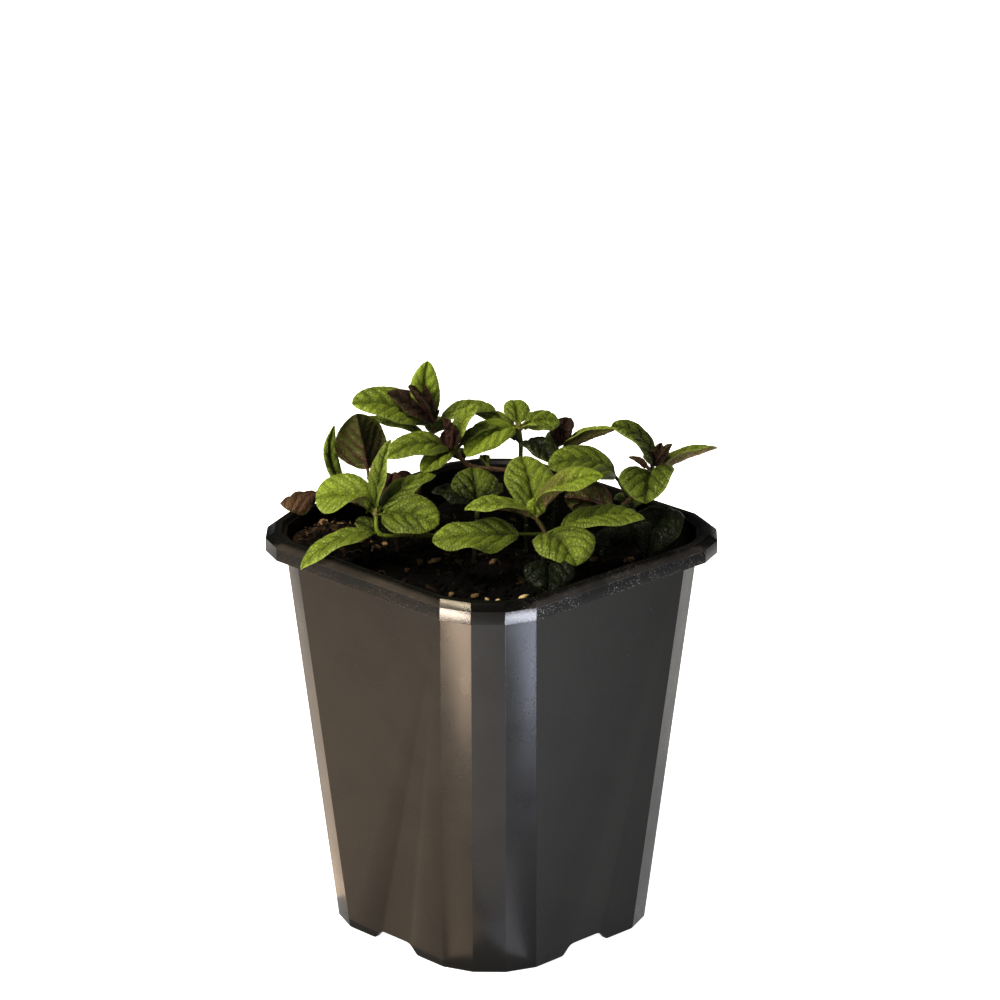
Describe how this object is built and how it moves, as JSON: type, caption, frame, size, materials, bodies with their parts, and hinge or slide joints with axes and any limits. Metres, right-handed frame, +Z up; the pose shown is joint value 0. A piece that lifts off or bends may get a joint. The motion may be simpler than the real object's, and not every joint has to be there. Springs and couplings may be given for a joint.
{
  "type": "potted mint plant",
  "caption": "Young mint plant with quilted green leaves and purple-brown tips, standing in dark potting soil in a tapered square black plastic nursery pot.",
  "frame": {"origin": "centre of the pot's base, on the surface that it stands on", "axes": "+Z up; X and Y square to the pot's sides, with the corner that the picture shows in front at +X, -Y"},
  "size_m": [0.1271, 0.1335, 0.1945],
  "materials": {
    "pot": "black satin moulded polypropylene with light dust along the rim",
    "soil": "moist dark peat and bark crumbs, rough",
    "foliage": "quilted leaf with sunken veins, satin, bright yellow-green to mid green",
    "young_foliage": "young purple-brown leaf, satin",
    "dead_foliage": "dry brown curled leaf, matte"
  },
  "bodies": {
    "root": {"pot": "pot", "soil": "soil", "shoot_tall": "foliage", "shoot_runner": "foliage", "shoot_back": "foliage", "shoot_back_right": "foliage", "shoot_broad": "foliage", "shoot_right": "foliage", "shoot_front": "foliage", "shoot_left": "foliage", "shoot_left_back": "foliage", "shoot_middle": "foliage", "shoot_right_low": "foliage", "shoot_front_low": "foliage", "shoot_tall_tip": "young_foliage", "shoot_runner_tip": "young_foliage", "shoot_back_right_tip": "young_foliage", "shoot_right_tip": "young_foliage", "dried_leaf": "dead_foliage", "dead_leaf": "dead_foliage"}
  },
  "joints": []
}
